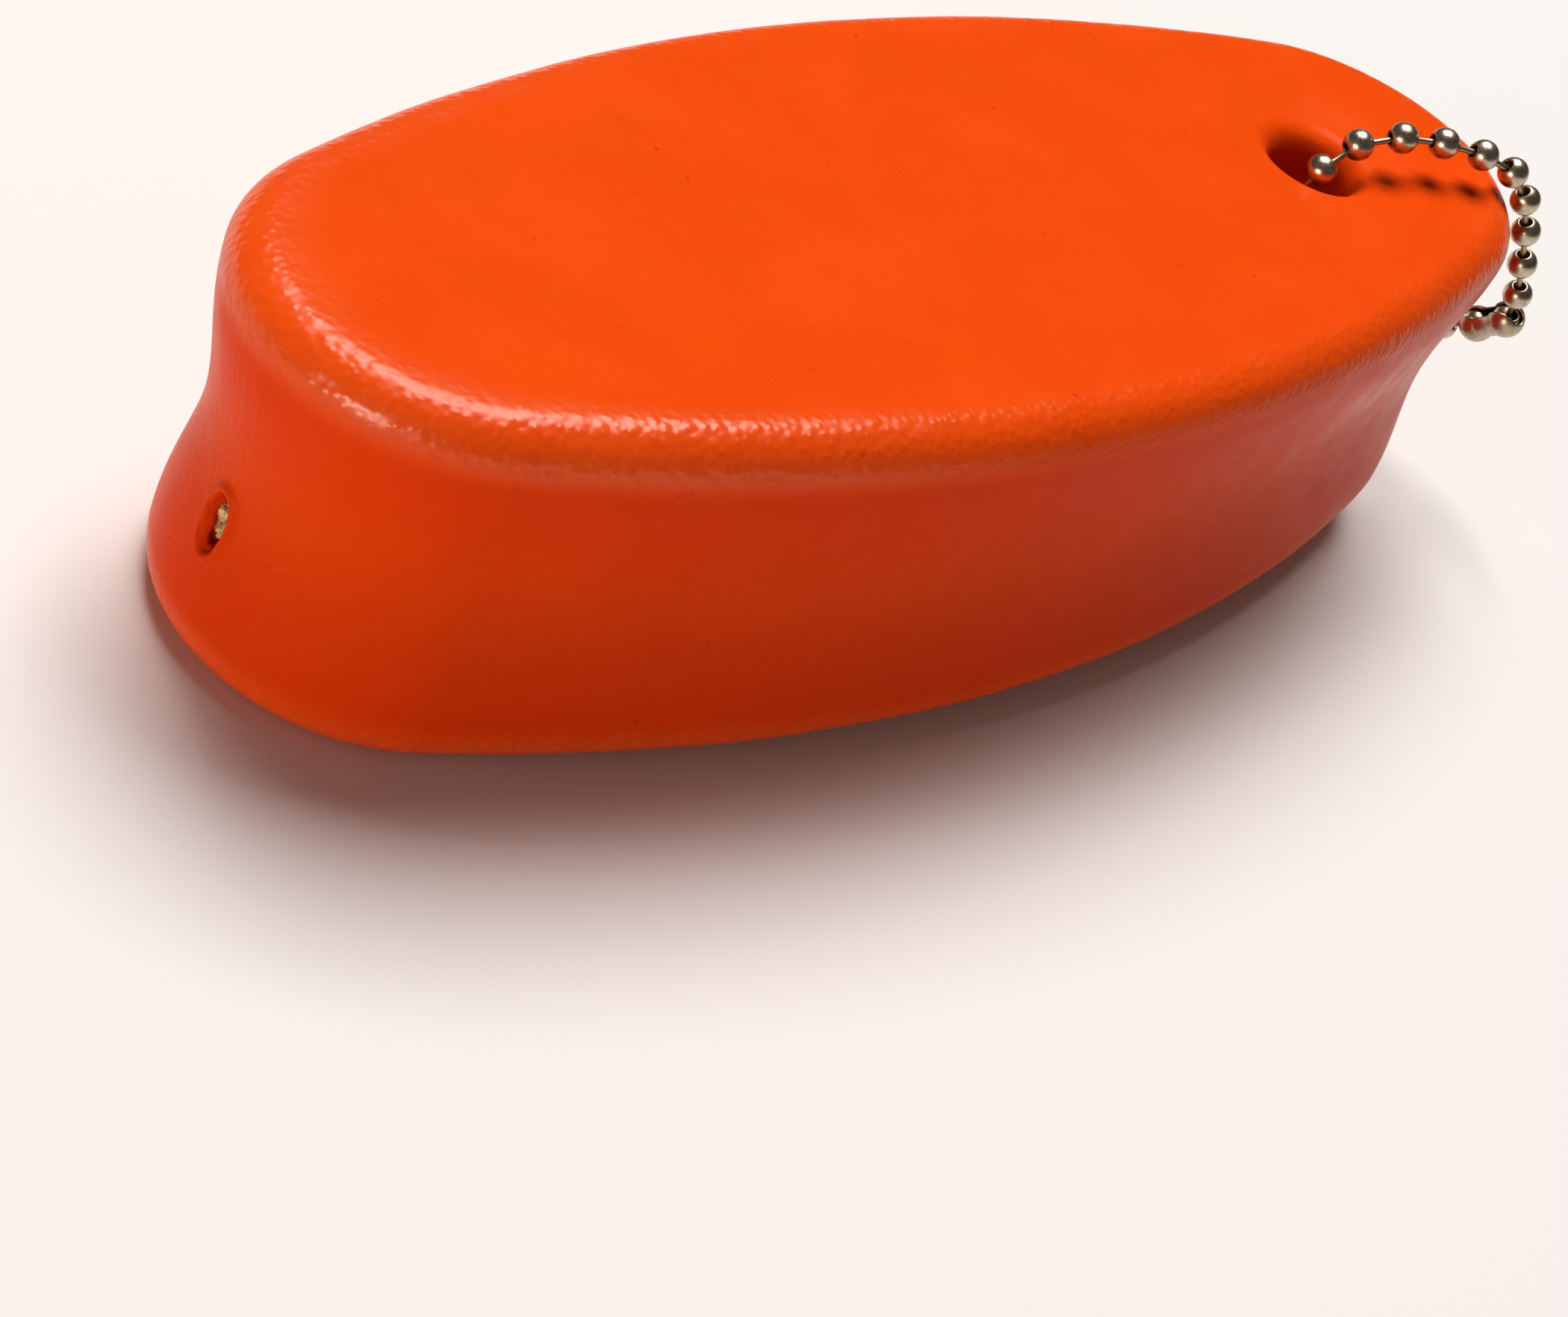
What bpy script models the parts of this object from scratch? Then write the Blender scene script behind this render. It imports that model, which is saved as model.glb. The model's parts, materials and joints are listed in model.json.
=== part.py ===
"""A foam key float: a waisted foam slab dipped in vinyl, with a loop of bead chain through one end.

Metres, +Z up. The origin is the middle of the flat underside, +X points to the end with the chain.
"""

import math

import bpy
from mathutils import Matrix, Vector

# ---- driving dimensions ----
MM = 0.001

FLOAT_LENGTH = 110 * MM
FLOAT_WIDTH = 44.3 * MM
FLOAT_HEIGHT = 27 * MM
END_RADIUS = 15.0 * MM  # plan radius of both ends
RIM_RADIUS = 2.8 * MM  # rounding between the side wall and either face
WAIST_DEPTH = 1.2 * MM  # how far the side wall is hollowed at mid height
SKIN = 0.8 * MM  # thickness of the dipped vinyl
GAP = 0.3 * MM  # clearance left between touching pieces

HOLE_X = 36.8 * MM  # the chain's hole, through the float
HOLE_Y = -0.5 * MM
HOLE_RADIUS = 3.3 * MM
LIP_RADIUS = 2.2 * MM  # rounding of the hole's two mouths
LIP_ANGLE = math.radians(78)  # how much of the rounding is cut before the face

HOOK_HEIGHT = 10.3 * MM  # hole left by the dipping hook, in the other end
HOOK_RADIUS = 1.7 * MM
HOOK_BORE_RADIUS = 1.4 * MM
HOOK_BORE_DEPTH = 11.0 * MM

BEAD_COUNT = 28
BEAD_RADIUS = 1.2 * MM
BEAD_WALL = 0.2 * MM
BEAD_HOLE_RADIUS = 0.46 * MM
PIN_RADIUS = 0.2 * MM
PIN_HEAD_RADIUS = 0.54 * MM
PIN_HEAD_HALF = 0.16 * MM
HEAD_OFFSET = 0.45 * MM  # from a bead's centre to a pin head's, where the chain bends
CONNECTOR_RADIUS = 1.5 * MM
CONNECTOR_WALL = 0.2 * MM
CONNECTOR_NECK = 1.2 * MM
CONNECTOR_SLOT = 1.0 * MM
CONNECTOR_SLOT_BACK = 0.85 * MM  # how far the slot cuts past the axis, at the two ends

FIRST_IN_CONNECTOR = 11  # this bead and the next are snapped into the connector
LAST_LOWER = 21  # beads 21 down to 13 hang from the lower mouth of the hole

# The loop's route, in millimetres: out of the upper mouth, along the deck, over the end,
# down to the ground, back under the float and up through the hole.
ROUTE = [
    (36.2, -1.7, 26.1),
    (39.2, -1.9, 28.3),
    (42.1, -3.3, 29.5),
    (45.3, -5.0, 29.8),
    (48.3, -6.8, 29.6),
    (51.3, -8.1, 28.5),
    (53.6, -8.9, 26.2),
    (55.4, -9.4, 23.3),
    (58.5, -10.2, 17.1),
    (60.0, -9.7, 13.9),
    (60.6, -7.4, 11.6),
    (60.6, -4.6, 9.2),
    (59.6, -2.4, 6.2),
    (57.9, -1.2, 2.8),
    (55.2, -1.1, -0.2),
    (51.3, -1.2, -1.5),
    (46.4, -1.3, -1.6),
    (41.0, -1.0, -1.1),
    (38.4, -0.6, 1.3),
    (37.4, -0.3, 5.0),
    (37.6, -0.2, 10.0),
    (36.4, -0.6, 16.0),
    (35.1, -1.2, 22.4),
]

# ---- colours ----
ORANGE = (0.80, 0.085, 0.012)
FOAM = (0.72, 0.60, 0.42)
NICKEL = (0.62, 0.56, 0.48)


def clear_scene():
    for obj in list(bpy.data.objects):
        bpy.data.objects.remove(obj)


def material(name, colour, roughness, metallic):
    made = bpy.data.materials.new(name)
    made.use_nodes = True
    shader = made.node_tree.nodes["Principled BSDF"]
    shader.inputs["Base Color"].default_value = (*colour, 1.0)
    shader.inputs["Roughness"].default_value = roughness
    shader.inputs["Metallic"].default_value = metallic
    made.diffuse_color = (*colour, 1.0)
    return made


def mesh_of_rings(name, rings, start, end):
    """A closed surface over rings of equal count. start and end are each "cap" for a flat
    cap or a point for a pole; with both None the last ring joins the first."""
    count = len(rings[0])
    points = [point for ring in rings for point in ring]
    faces = []
    pairs = len(rings) if start is None else len(rings) - 1
    for r in range(pairs):
        low, high = r * count, (r + 1) % len(rings) * count
        for i in range(count):
            j = (i + 1) % count
            faces.append((low + i, low + j, high + j, high + i))
    last = (len(rings) - 1) * count
    if start == "cap":
        faces.append(tuple(reversed(range(count))))
    elif start is not None:
        points.append(start)
        faces += [((i + 1) % count, i, len(points) - 1) for i in range(count)]
    if end == "cap":
        faces.append(tuple(range(last, last + count)))
    elif end is not None:
        points.append(end)
        faces += [(last + i, last + (i + 1) % count, len(points) - 1) for i in range(count)]
    mesh = bpy.data.meshes.new(name)
    mesh.from_pydata(points, [], faces)
    mesh.validate()
    return mesh


def lathe(name, profile, steps, pole_start=None, pole_end=None):
    """Turns (height, radius) pairs, in order of rising height, about Z. With no poles the
    profile is a closed loop, outer side first going up and inner side coming down."""
    rings = []
    for height, radius in profile:
        turn = [2 * math.pi * i / steps for i in range(steps)]
        rings.append([(radius * math.cos(a), radius * math.sin(a), height) for a in turn])
    start = None if pole_start is None else (0, 0, pole_start)
    end = None if pole_end is None else (0, 0, pole_end)
    return mesh_of_rings(name, rings, start, end)


def place(name, mesh, finish, location=(0, 0, 0), rotation=None, parent=None):
    obj = bpy.data.objects.new(name, mesh)
    bpy.context.scene.collection.objects.link(obj)
    if finish is not None:
        if not mesh.materials:
            mesh.materials.append(finish)
        obj.material_slots[0].link = "OBJECT"
        obj.material_slots[0].material = finish
    turn = rotation.to_matrix().to_4x4() if rotation else Matrix.Identity(4)
    obj.matrix_world = Matrix.Translation(Vector(location)) @ turn
    if parent is not None:
        obj.parent = parent
        obj.matrix_parent_inverse = Matrix.Translation(-parent.location)
    return obj


def cut(obj, cutter):
    """Subtracts the cutter, which stays in the scene as a guide."""
    cutter.hide_render = True
    cutter.display_type = "WIRE"
    step = obj.modifiers.new(cutter.name, "BOOLEAN")
    step.operation = "DIFFERENCE"
    step.solver = "EXACT"
    step.object = cutter


# ---- the float ----
def outline(inset):
    """The float's plan, moved inwards by inset: two end arcs joined by two long side arcs
    that touch them, the shape of a lens with round ends."""
    half_length = FLOAT_LENGTH / 2 - END_RADIUS
    half_width = FLOAT_WIDTH / 2
    side = (half_length**2 + half_width**2 - END_RADIUS**2) / (FLOAT_WIDTH - 2 * END_RADIUS)
    side_centre = side - half_width
    join = math.atan2(side_centre, half_length)  # where an end arc meets a side arc
    end_steps, side_steps = 6, 12
    points = []
    for i in range(-end_steps, end_steps):
        a = join * i / end_steps
        radius = END_RADIUS - inset
        points.append((half_length + radius * math.cos(a), radius * math.sin(a)))
    for i in range(side_steps):
        a = join + (math.pi - 2 * join) * i / side_steps
        radius = side - inset
        points.append((radius * math.cos(a), radius * math.sin(a) - side_centre))
    return points + [(-x, -y) for x, y in points]


def wall_profile(offset):
    """(height, inset) pairs from the underside to the deck for the float's surface, or for
    one that lies offset inside it."""
    rim = RIM_RADIUS - offset
    low, high = RIM_RADIUS, FLOAT_HEIGHT - RIM_RADIUS
    rim_steps, wall_steps = 4, 6
    arc = [math.pi / 2 * i / rim_steps for i in range(rim_steps + 1)]
    pairs = [(low - rim * math.cos(a), offset + rim * (1 - math.sin(a))) for a in arc]
    for i in range(1, wall_steps):
        along = i / wall_steps
        hollow = WAIST_DEPTH * math.sin(math.pi * along) ** 2
        pairs.append((low + (high - low) * along, offset + hollow))
    pairs += [(FLOAT_HEIGHT - height, inset) for height, inset in reversed(pairs[: rim_steps + 1])]
    return pairs


def float_solid(name, offset, finish=None):
    rings = [[(x, y, height) for x, y in outline(inset)] for height, inset in wall_profile(offset)]
    return place(name, mesh_of_rings(name, rings, "cap", "cap"), finish)


def hole_cutter(name, offset):
    """The chain's hole with its rounded mouths, for the surface that lies offset inside."""
    lip = LIP_RADIUS - offset
    centre = HOLE_RADIUS + LIP_RADIUS
    low = LIP_RADIUS
    steps = 5
    arc = [LIP_ANGLE * (1 - i / steps) for i in range(steps + 1)]
    beyond = 3 * MM
    lower = [(low - lip * math.sin(a), centre - lip * math.cos(a)) for a in arc]
    lower.insert(0, (lower[0][0] - beyond, lower[0][1] + beyond / math.tan(LIP_ANGLE) * 0.2))
    upper = [(FLOAT_HEIGHT - height, radius) for height, radius in reversed(lower)]
    profile = lower + upper
    mesh = lathe(name, profile, 24, profile[0][0] - MM, profile[-1][0] + MM)
    return place(name, mesh, None, (HOLE_X, HOLE_Y, 0))


def hook_cutter(name, radius, start, end):
    """A round cutter along X at the end away from the chain."""
    steps = 16
    rings = []
    for x in (start, end):
        turn = [2 * math.pi * i / steps for i in range(steps)]
        rings.append([(x, radius * math.cos(a), HOOK_HEIGHT + radius * math.sin(a)) for a in turn])
    return place(name, mesh_of_rings(name, rings, "cap", "cap"), None)


def make_float():
    left = -FLOAT_LENGTH / 2
    coat = float_solid("vinyl_coat", 0, material("vinyl", ORANGE, 0.35, 0))
    cavity = float_solid("cavity_guide", SKIN)
    cut(cavity, hole_cutter("cavity_hole_guide", SKIN))
    cut(coat, hole_cutter("coat_hole_guide", 0))
    cut(coat, cavity)
    cut(coat, hook_cutter("coat_hook_guide", HOOK_RADIUS, left - 2 * MM, left + 4 * MM))
    core = float_solid("foam_core", SKIN + GAP, material("foam", FOAM, 0.9, 0))
    cut(core, hole_cutter("core_hole_guide", SKIN + GAP))
    bore_end = left + SKIN + HOOK_BORE_DEPTH
    cut(core, hook_cutter("core_hook_guide", HOOK_BORE_RADIUS, left - 2 * MM, bore_end))


# ---- the chain ----
def smooth_route():
    """Points close together on the closed Catmull-Rom curve through ROUTE, in metres."""
    corners = [Vector(point) * MM for point in ROUTE]
    fine = []
    steps = 40
    for i in range(len(corners)):
        a, b, c, d = (corners[(i + k) % len(corners)] for k in (-1, 0, 1, 2))
        for j in range(steps):
            t = j / steps
            fine.append(
                0.5
                * (
                    2 * b
                    + (c - a) * t
                    + (2 * a - 5 * b + 4 * c - d) * t**2
                    + (3 * b - a - 3 * c + d) * t**3
                )
            )
    return fine


def stepped(route, pitch):
    """BEAD_COUNT centres along the route, each pitch from the last in a straight line, and
    how far round the route the next one would be."""
    centres = [route[0]]
    laps = 0.0
    index = 0
    while len(centres) < BEAD_COUNT + 1:
        index += 1
        here = route[index % len(route)]
        far = (here - centres[-1]).length
        if far >= pitch:
            before = route[(index - 1) % len(route)]
            near = (before - centres[-1]).length
            part = (pitch - near) / (far - near)
            centres.append(before.lerp(here, part))
            laps = (index - 1 + part) / len(route)
        if index > 3 * len(route):
            break
    return centres[:BEAD_COUNT], laps


def bead_centres():
    """The centres and the pitch that closes the loop after BEAD_COUNT steps."""
    route = smooth_route()
    low, high = 2 * BEAD_RADIUS, 5 * BEAD_RADIUS
    for _ in range(40):
        pitch = (low + high) / 2
        laps = stepped(route, pitch)[1]
        if laps < 1:
            low = pitch
        else:
            high = pitch
    return stepped(route, pitch)[0], pitch


def bead_mesh():
    inner = BEAD_RADIUS - BEAD_WALL
    outer_edge = math.asin(BEAD_HOLE_RADIUS / BEAD_RADIUS)
    inner_edge = math.asin(BEAD_HOLE_RADIUS / inner)
    profile = []
    for radius, edge, steps, way in ((BEAD_RADIUS, outer_edge, 6, 1), (inner, inner_edge, 4, -1)):
        for i in range(steps + 1):
            a = edge + (math.pi - 2 * edge) * i / steps
            profile.append((-way * radius * math.cos(a), radius * math.sin(a)))
    return lathe("bead", profile, 8)


def pin_mesh(name, pitch, far_head):
    """A pin along Z with a head at 0, and either a second head or a bare end, which stops
    clear of the next bead's wall."""
    reach = pitch - 2 * HEAD_OFFSET
    half, wide = PIN_HEAD_HALF, PIN_HEAD_RADIUS
    head = [(-0.8 * half, 0.65 * wide), (0, wide), (0.8 * half, 0.75 * wide), (1.6 * half, PIN_RADIUS)]
    if far_head:
        far = [(reach - height, radius) for height, radius in reversed(head)]
        return lathe(name, head + far, 6, -half, reach + half)
    end = reach + HEAD_OFFSET - BEAD_RADIUS - GAP
    return lathe(name, head + [(end - PIN_RADIUS / 2, PIN_RADIUS)], 6, -half, end)


def connector_profile(radius, neck, pitch):
    """(height, radius) pairs of a shell over two beads, pinched between them."""
    waist = pitch / 2 - math.sqrt(radius**2 - neck**2)
    first = math.atan2(neck, pitch / 2 - waist)
    steps = 6
    pairs = []
    for i in range(1, steps + 1):
        a = math.pi - (math.pi - first) * i / steps
        pairs.append((-pitch / 2 + radius * math.cos(a), radius * math.sin(a)))
    return pairs + [(-height, size) for height, size in reversed(pairs)]


def make_connector(centres, pitch, finish, parent):
    first, second = centres[FIRST_IN_CONNECTOR - 1], centres[FIRST_IN_CONNECTOR]
    axis = (second - first).normalized()
    middle = (first + second) / 2
    inward = (centres[FIRST_IN_CONNECTOR - 2] + centres[FIRST_IN_CONNECTOR + 1]) / 2 - middle
    inward = (inward - inward.project(axis)).normalized()
    turn = Matrix((inward, axis.cross(inward), axis)).transposed().to_quaternion()
    outer = connector_profile(CONNECTOR_RADIUS, CONNECTOR_NECK, pitch)
    thin = CONNECTOR_WALL
    inner = connector_profile(CONNECTOR_RADIUS - thin, CONNECTOR_NECK - thin, pitch)
    end = pitch / 2 + CONNECTOR_RADIUS
    shell = place(
        "chain_connector", lathe("connector", outer, 16, -end, end), finish, middle, turn, parent
    )
    hollow = place(
        "connector_hollow_guide",
        lathe("connector_hollow", inner, 16, thin - end, end - thin),
        None,
        middle,
        turn,
    )
    half = CONNECTOR_SLOT / 2
    long = end + MM
    back, front = -CONNECTOR_SLOT_BACK, 2 * CONNECTOR_RADIUS
    ring = [(back, -half), (front, -half), (front, half), (back, half)]
    rings = [[(x, y, z) for x, y in ring] for z in (-long, long)]
    slot_mesh = mesh_of_rings("connector_slot", rings, "cap", "cap")
    cut(shell, hollow)
    cut(shell, place("connector_slot_guide", slot_mesh, None, middle, turn))


def empty(name, location):
    obj = bpy.data.objects.new(name, None)
    obj.empty_display_size = 2 * MM
    bpy.context.scene.collection.objects.link(obj)
    obj.location = location
    return obj


def along(direction):
    """The turn that lays Z along a direction."""
    return direction.to_track_quat("Z", "Y")


def joints(centres):
    """{bead number: (hinge point, True on the upper strand)} for the beads that swing.

    A bead swings on the head of the pin that reaches it from the hole's side."""
    found = {}
    for number in range(2, FIRST_IN_CONNECTOR + 1):
        here, before = centres[number - 1], centres[number - 2]
        found[number] = (here + (before - here).normalized() * HEAD_OFFSET, True)
    for number in range(LAST_LOWER, FIRST_IN_CONNECTOR + 1, -1):
        here, before = centres[number - 1], centres[number % BEAD_COUNT]
        found[number] = (here + (before - here).normalized() * HEAD_OFFSET, False)
    return found


def make_chain():
    centres, pitch = bead_centres()
    hinges = joints(centres)
    bead = bead_mesh()
    pin = pin_mesh("pin", pitch, True)
    open_pin = pin_mesh("open_pin", pitch, False)
    parents = {number: empty(f"swing_{number:02d}", at) for number, (at, _) in hinges.items()}
    open_number = FIRST_IN_CONNECTOR + 1  # the pin that stops short of the connector's bead
    clasp = empty("swing_connector", centres[FIRST_IN_CONNECTOR - 1])
    parents[open_number] = clasp
    for number in range(1, BEAD_COUNT + 1):
        here = centres[number - 1]
        before, after = centres[number - 2], centres[number % BEAD_COUNT]
        nickel = material(f"nickel_bead_{number:02d}", NICKEL, 0.3, 1.0)
        turn = along(after - before)
        place(f"bead_{number:02d}", bead, nickel, here, turn, parents.get(number))
        if number == FIRST_IN_CONNECTOR:
            continue
        way = (after - here).normalized()
        nickel = material(f"nickel_pin_{number:02d}", NICKEL, 0.3, 1.0)
        name = f"pin_{number:02d}"
        upper = number < FIRST_IN_CONNECTOR
        holder = parents.get(number if upper else number + 1)
        if number == open_number:
            start = after - way * HEAD_OFFSET
            place(name, open_pin, nickel, start, along(-way), holder)
        else:
            place(name, pin, nickel, here + way * HEAD_OFFSET, along(way), holder)
    make_connector(centres, pitch, material("nickel_connector", NICKEL, 0.3, 1.0), clasp)


def main():
    clear_scene()
    make_float()
    make_chain()


main()
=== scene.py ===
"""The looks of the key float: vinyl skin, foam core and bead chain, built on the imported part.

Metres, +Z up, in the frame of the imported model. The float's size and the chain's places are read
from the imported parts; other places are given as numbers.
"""

import json
import math

import bmesh
import bpy
import numpy as np
from mathutils import Matrix, Vector, noise


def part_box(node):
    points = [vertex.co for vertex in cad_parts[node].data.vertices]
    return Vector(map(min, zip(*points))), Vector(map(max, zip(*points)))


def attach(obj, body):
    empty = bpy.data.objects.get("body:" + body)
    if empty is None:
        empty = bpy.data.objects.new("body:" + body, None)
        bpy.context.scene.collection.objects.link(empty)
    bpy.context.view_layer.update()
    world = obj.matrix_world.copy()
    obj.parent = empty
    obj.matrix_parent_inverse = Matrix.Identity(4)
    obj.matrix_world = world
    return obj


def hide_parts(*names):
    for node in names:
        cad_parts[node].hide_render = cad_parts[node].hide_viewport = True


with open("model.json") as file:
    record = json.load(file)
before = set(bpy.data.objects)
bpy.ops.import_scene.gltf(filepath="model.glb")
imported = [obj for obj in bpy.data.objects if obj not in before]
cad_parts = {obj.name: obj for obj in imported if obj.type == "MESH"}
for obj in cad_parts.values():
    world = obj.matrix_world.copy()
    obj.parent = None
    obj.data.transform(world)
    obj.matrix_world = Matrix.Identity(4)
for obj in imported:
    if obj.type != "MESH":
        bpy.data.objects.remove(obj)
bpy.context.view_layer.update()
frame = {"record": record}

MM = 0.001

# ---- the float, as the part has it ----
COAT_LOW, COAT_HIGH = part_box("vinyl_coat")
FLOAT_LENGTH = COAT_HIGH.x - COAT_LOW.x
FLOAT_WIDTH = COAT_HIGH.y - COAT_LOW.y
FLOAT_HEIGHT = COAT_HIGH.z - COAT_LOW.z
END_RADIUS = 15.0 * MM
RIM_RADIUS = 2.8 * MM
WAIST_DEPTH = 1.2 * MM
SKIN = 0.8 * MM
GAP = 0.3 * MM
HOLE_X = 36.8 * MM
HOLE_Y = -0.5 * MM
HOLE_RADIUS = 3.3 * MM
LIP_RADIUS = 2.2 * MM
HOOK_HEIGHT = 10.3 * MM

# ---- relief that only the skin has ----
DISH_DEPTH = 0.35 * MM  # both faces sink a little inside a soft crest
DISH_REACH = 9.0 * MM
FUNNEL_DEPTH = 0.45 * MM  # the faces sink further round the chain's hole
FUNNEL_REACH = 5.0 * MM
HOOK_HALF_WIDTH = 1.05 * MM  # the hook's hole is an upright oval
HOOK_HALF_HEIGHT = 2.2 * MM
HOOK_LIP = 0.8 * MM
HOOK_LIP_RISE = 0.33 * MM
HOOK_THROAT = 1.1 * MM  # how far the vinyl runs into the hole
THROAT_WALL = 0.42 * MM  # thickness of the vinyl in the hole
HOOK_PATCH = 4.2 * MM  # half the side of the patch of wall that is rebuilt round the hole

# ---- the chain: pins and holes are a touch thicker and wider than the part's ----
BEAD_COUNT = 28
BEAD_RADIUS = 1.2 * MM
BEAD_WALL = 0.2 * MM
BEAD_HOLE_RADIUS = 0.47 * MM
PIN_RADIUS = 0.24 * MM
PIN_HEAD_RADIUS = 0.54 * MM
HEAD_OFFSET = 0.45 * MM
CONNECTOR_RADIUS = 1.5 * MM
CONNECTOR_WALL = 0.2 * MM
CONNECTOR_NECK = 1.2 * MM
CONNECTOR_SLOT = 1.14 * MM
CONNECTOR_HOLE = 0.62 * MM  # radius of the opening at each end
FIRST_IN_CONNECTOR = 11  # this bead and the next are in the connector
BEAD_SIDES = 44
PIN_SIDES = 28

BODY_OF = {
    node: body
    for body, nodes in frame["record"]["behaviour"]["bodies"].items()
    for node in nodes
}


# ---- small helpers ----
def smooth(t):
    t = np.clip(t, 0.0, 1.0)
    return t * t * (3 - 2 * t)


def new_object(name, mesh, material, body, node, where=None):
    """A smooth piece that rides a body and, unless node is None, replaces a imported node."""
    obj = bpy.data.objects.new(name, mesh)
    bpy.context.scene.collection.objects.link(obj)
    if not mesh.materials:
        mesh.materials.append(material)
        mesh.shade_smooth()
    if where is not None:
        obj.matrix_world = where
    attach(obj, body)
    if node:
        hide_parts(node)
    return obj


def mesh_from(name, points, faces):
    mesh = bpy.data.meshes.new(name)
    mesh.from_pydata([tuple(p) for p in points], [], [tuple(f) for f in faces])
    mesh.validate()
    work = bmesh.new()
    work.from_mesh(mesh)
    bmesh.ops.recalc_face_normals(work, faces=work.faces)
    work.to_mesh(mesh)
    work.free()
    return mesh


def ring_faces(low, high):
    """Quads between two closed rings of vertex numbers of equal count."""
    count = len(low)
    pairs = [(i, (i + 1) % count) for i in range(count)]
    return [(low[i], low[n], high[n], high[i]) for i, n in pairs]


# ---- the float's surface ----
HALF_LENGTH = FLOAT_LENGTH / 2 - END_RADIUS
HALF_WIDTH = FLOAT_WIDTH / 2
SIDE_RADIUS = (HALF_LENGTH**2 + HALF_WIDTH**2 - END_RADIUS**2) / (FLOAT_WIDTH - 2 * END_RADIUS)
SIDE_CENTRE = SIDE_RADIUS - HALF_WIDTH
JOIN = math.atan2(SIDE_CENTRE, HALF_LENGTH)  # where an end arc meets a side arc


def outline_arcs(end_steps, side_steps):
    """Round the plan: (centre x, centre y, angle, radius) at each point, from the +X end
    anticlockwise, starting at the first arc's join."""
    points = []
    for turn in (0.0, math.pi):
        c, s = math.cos(turn), math.sin(turn)
        for i in range(end_steps):
            a = -JOIN + 2 * JOIN * i / end_steps
            points.append((HALF_LENGTH * c, HALF_LENGTH * s, a + turn, END_RADIUS))
        for i in range(side_steps):
            a = JOIN + (math.pi - 2 * JOIN) * i / side_steps
            points.append((SIDE_CENTRE * s, -SIDE_CENTRE * c, a + turn, SIDE_RADIUS))
    return np.array(points)


def outline_at(arcs, inset):
    radius = arcs[:, 3] - inset
    x = arcs[:, 0] + radius * np.cos(arcs[:, 2])
    y = arcs[:, 1] + radius * np.sin(arcs[:, 2])
    return np.stack([x, y], axis=1)


def edge_distance(x, y):
    """How far a point of the plan lies inside the outline."""
    x, y = np.abs(x), np.abs(y)
    end = np.arctan2(y, x - HALF_LENGTH)
    near_end = END_RADIUS - np.hypot(x - HALF_LENGTH, y)
    near_side = SIDE_RADIUS - np.hypot(x, y + SIDE_CENTRE)
    return np.where((end < JOIN) & (x > HALF_LENGTH), near_end, near_side)


def sink(x, y):
    """How far a face lies below its crest: a shallow dish, and a funnel round the hole."""
    dish = DISH_DEPTH * smooth((edge_distance(x, y) - RIM_RADIUS) / DISH_REACH)
    out = np.hypot(x - HOLE_X, y - HOLE_Y) - HOLE_RADIUS - LIP_RADIUS * 0.5
    funnel = FUNNEL_DEPTH * (1 - smooth(out / FUNNEL_REACH))
    return dish + funnel


def wall_inset(height):
    """The hollow of the side wall at a height between the rims."""
    share = (height - RIM_RADIUS) / (FLOAT_HEIGHT - 2 * RIM_RADIUS)
    return WAIST_DEPTH * math.sin(math.pi * min(max(share, 0), 1)) ** 2


def wall_rows(offset, rim_steps, heights):
    """(height, inset) pairs from the underside up the wall to the deck."""
    rim = RIM_RADIUS - offset
    arc = [math.pi / 2 * i / rim_steps for i in range(rim_steps + 1)]
    low = [(RIM_RADIUS - rim * math.cos(a), offset + rim * (1 - math.sin(a))) for a in arc]
    wall = [(height, offset + wall_inset(height)) for height in heights]
    return low + wall + [(FLOAT_HEIGHT - height, inset) for height, inset in reversed(low)]


def hook_point(across, up, inward):
    """A point on the hook end's wall: across it, up from the hook's hole, and inward."""
    a = math.pi + across / END_RADIUS
    height = HOOK_HEIGHT + up
    radius = END_RADIUS - wall_inset(height) - inward
    return (-HALF_LENGTH + radius * math.cos(a), radius * math.sin(a), height)


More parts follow.
